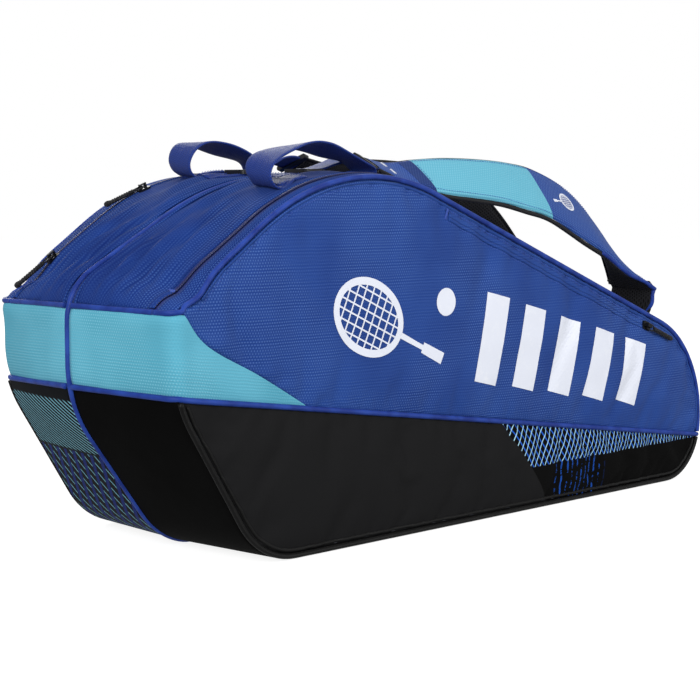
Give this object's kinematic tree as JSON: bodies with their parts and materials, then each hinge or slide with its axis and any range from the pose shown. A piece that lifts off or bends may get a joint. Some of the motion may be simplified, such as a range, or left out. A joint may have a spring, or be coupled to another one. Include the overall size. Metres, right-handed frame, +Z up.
{
  "type": "racket bag",
  "caption": "Tennis racket bag with zipped padded compartments on a centre divider, arched top, webbing carry handles and padded backpack straps.",
  "frame": {"origin": "on the flat base, at the middle of the bag's length and thickness", "axes": "+X from the wide racket-head end to the narrow grip end, -Y the front face, +Z up"},
  "size_m": [0.7787, 0.2583, 0.369],
  "materials": {
    "blue_fabric": "embossed ripstop weave, soft sheen",
    "cyan_fabric": "embossed ripstop weave, soft sheen",
    "black_fabric": "fine matte weave with printed stripes",
    "charcoal_fabric": "coarse matte weave",
    "blue_webbing": "woven webbing",
    "strap_padding": "smooth woven cover over foam, mesh back",
    "blue_piping": "bias-cut welt over cord",
    "black_piping": "bias-cut welt over cord",
    "zip_tape": "woven tape with nylon coil",
    "zip_metal": "satin black",
    "pull_cord": "braided cord",
    "buckle_plastic": "moulded acetal",
    "lining_fabric": "light plain weave",
    "divider_foam": "foam board in lining fabric",
    "base_board": "sheet"
  },
  "bodies": {
    "bag": {"front_base_gusset": "black_fabric", "front_end_band": "cyan_fabric", "front_nose_band": "blue_fabric", "front_roof": "blue_fabric", "front_zip_inner_tape": "zip_tape", "front_lining": "lining_fabric", "front_base_board": "base_board", "front_lower_panel": "charcoal_fabric", "front_corner_wedge": "cyan_fabric", "front_waist_panel": "blue_fabric", "front_panel_piping": "black_piping", "front_waist_piping": "blue_piping", "front_band_piping": "blue_piping", "front_handle_patches": "blue_webbing", "front_strap_webbing": "blue_webbing", "front_ladder_lock": "buckle_plastic", "rear_base_gusset": "black_fabric", "rear_end_band": "cyan_fabric", "rear_nose_band": "blue_fabric", "rear_roof": "blue_fabric", "rear_zip_inner_tape": "zip_tape", "rear_lining": "lining_fabric", "rear_base_board": "base_board", "rear_lower_panel": "charcoal_fabric", "rear_corner_wedge": "cyan_fabric", "rear_waist_panel": "blue_fabric", "rear_panel_piping": "black_piping", "rear_waist_piping": "blue_piping", "rear_band_piping": "blue_piping", "rear_handle_patches": "blue_webbing", "rear_strap_webbing": "blue_webbing", "rear_ladder_lock": "buckle_plastic", "centre_divider": "divider_foam", "centre_piping": "blue_piping"},
    "front_flap": {"front_flap_panel": "blue_fabric", "front_flap_edge": "blue_fabric", "front_flap_piping": "blue_piping", "front_zip_outer_tape": "zip_tape", "pocket_zip_tape": "zip_tape", "pocket_pouch": "lining_fabric"},
    "front_handle": {"front_handle": "blue_webbing"},
    "front_strap": {"front_strap_pad": "strap_padding", "front_strap_bar": "buckle_plastic"},
    "rear_flap": {"rear_flap_panel": "blue_fabric", "rear_flap_edge": "blue_fabric", "rear_flap_piping": "blue_piping", "rear_zip_outer_tape": "zip_tape"},
    "rear_handle": {"rear_handle": "blue_webbing"},
    "rear_strap": {"rear_strap_pad": "strap_padding", "rear_strap_bar": "buckle_plastic"},
    "front_upper_slider": {"front_upper_slider": "zip_metal"},
    "front_upper_pull": {"front_upper_pull": "pull_cord"},
    "front_lower_slider": {"front_lower_slider": "zip_metal"},
    "front_lower_pull": {"front_lower_pull": "pull_cord"},
    "rear_end_slider": {"rear_end_slider": "zip_metal"},
    "rear_end_pull": {"rear_end_pull": "pull_cord"},
    "rear_arch_slider": {"rear_arch_slider": "zip_metal"},
    "rear_arch_pull": {"rear_arch_pull": "pull_cord"},
    "pocket_slider": {"pocket_slider": "zip_metal"},
    "pocket_pull": {"pocket_pull": "pull_cord"}
  },
  "joints": [
    {"name": "front_flap_fold", "type": "hinge", "parent": "bag", "child": "front_flap", "pos_m": [0, -0.1232, 0.1696], "axis": [0.9905, 0, -0.1377], "range_deg": [0, 75]},
    {"name": "rear_flap_fold", "type": "hinge", "parent": "bag", "child": "rear_flap", "pos_m": [0, 0.1232, 0.1696], "axis": [-0.9905, 0, 0.1377], "range_deg": [0, 75]},
    {"name": "front_upper_slide", "type": "slide", "parent": "bag", "child": "front_upper_slider", "axis": [-0.9345, 0, 0.356], "range_m": [0, 0.16]},
    {"name": "front_lower_slide", "type": "slide", "parent": "bag", "child": "front_lower_slider", "axis": [-0.9345, 0, 0.356], "range_m": [0, 0.07]},
    {"name": "rear_end_slide", "type": "slide", "parent": "bag", "child": "rear_end_slider", "axis": [0.8306, 0, 0.5568], "range_m": [0, 0.045]},
    {"name": "rear_arch_slide", "type": "hinge", "parent": "bag", "child": "rear_arch_slider", "pos_m": [-0.14392, 0.0942, 0.0913], "axis": [0, 1, 0], "range_deg": [0, 35]},
    {"name": "pocket_slide", "type": "slide", "parent": "front_flap", "child": "pocket_slider", "axis": [-0.9345, 0, 0.356], "range_m": [0, 0.32]},
    {"name": "front_upper_pull_hinge", "type": "hinge", "parent": "front_upper_slider", "child": "front_upper_pull", "pos_m": [0.15192, -0.0942, 0.24059], "axis": [0, 1, 0], "range_deg": [0, 40]},
    {"name": "front_lower_pull_hinge", "type": "hinge", "parent": "front_lower_slider", "child": "front_lower_pull", "pos_m": [0.28592, -0.0942, 0.18955], "axis": [0, 1, 0], "range_deg": [0, 22]},
    {"name": "rear_end_pull_hinge", "type": "hinge", "parent": "rear_end_slider", "child": "rear_end_pull", "pos_m": [-0.33401, 0.0942, 0.25859], "axis": [0, 1, 0], "range_deg": [0, 165]},
    {"name": "rear_arch_pull_hinge", "type": "hinge", "parent": "rear_arch_slider", "child": "rear_arch_pull", "pos_m": [-0.2299, 0.0942, 0.32053], "axis": [0, 1, 0], "range_deg": [0, 110]},
    {"name": "pocket_pull_hinge", "type": "hinge", "parent": "pocket_slider", "child": "pocket_pull", "pos_m": [0.2713, -0.1279, 0.17345], "axis": [-0.356, 0, -0.9345], "range_deg": [0, 160]},
    {"name": "front_handle_swing", "type": "hinge", "parent": "bag", "child": "front_handle", "pos_m": [-0.205, -0.074, 0.3441], "axis": [0.9993, 0, 0.0369], "range_deg": [-40, 60]},
    {"name": "rear_handle_swing", "type": "hinge", "parent": "bag", "child": "rear_handle", "pos_m": [-0.172, 0.074, 0.35003], "axis": [0.9995, 0, -0.0322], "range_deg": [-60, 40]},
    {"name": "front_strap_swing", "type": "hinge", "parent": "bag", "child": "front_strap", "pos_m": [-0.074, -0.05, 0.342], "axis": [0.944, -0.0685, -0.3228], "range_deg": [-80, 35]},
    {"name": "rear_strap_swing", "type": "hinge", "parent": "bag", "child": "rear_strap", "pos_m": [-0.074, 0.05, 0.342], "axis": [0.944, 0.0685, -0.3228], "range_deg": [-35, 80]}
  ]
}
